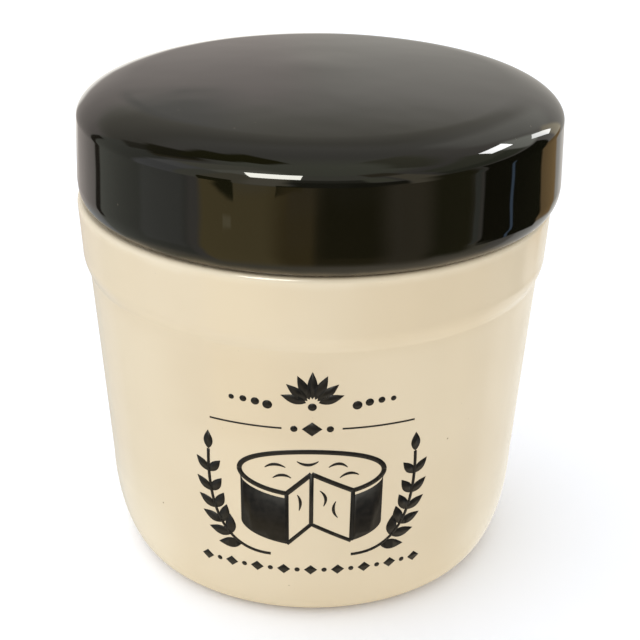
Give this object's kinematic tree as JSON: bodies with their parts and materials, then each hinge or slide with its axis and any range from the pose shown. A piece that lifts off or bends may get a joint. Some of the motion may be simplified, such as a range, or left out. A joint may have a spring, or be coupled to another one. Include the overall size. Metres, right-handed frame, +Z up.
{
  "type": "lidded stoneware cheese pot",
  "caption": "Small round stoneware pot that holds potted blue cheese, with a rounded foot, a tapered cream wall, a raised collar under the rim and a low domed black lid.",
  "frame": {"origin": "middle of the foot, on the surface that the pot stands on", "axes": "+Z up along the pot's axis, -Y towards the printed front"},
  "size_m": [0.0911, 0.091, 0.0948],
  "materials": {
    "cream_glaze": "soft gloss cream glaze over buff stoneware",
    "black_glaze": "high gloss black glaze with a faint brown cast",
    "print_ink": "fired black print, satin",
    "bare_clay": "unglazed wiped foot ring"
  },
  "bodies": {
    "root": {"pot": "cream_glaze", "lid": "black_glaze"}
  },
  "joints": []
}
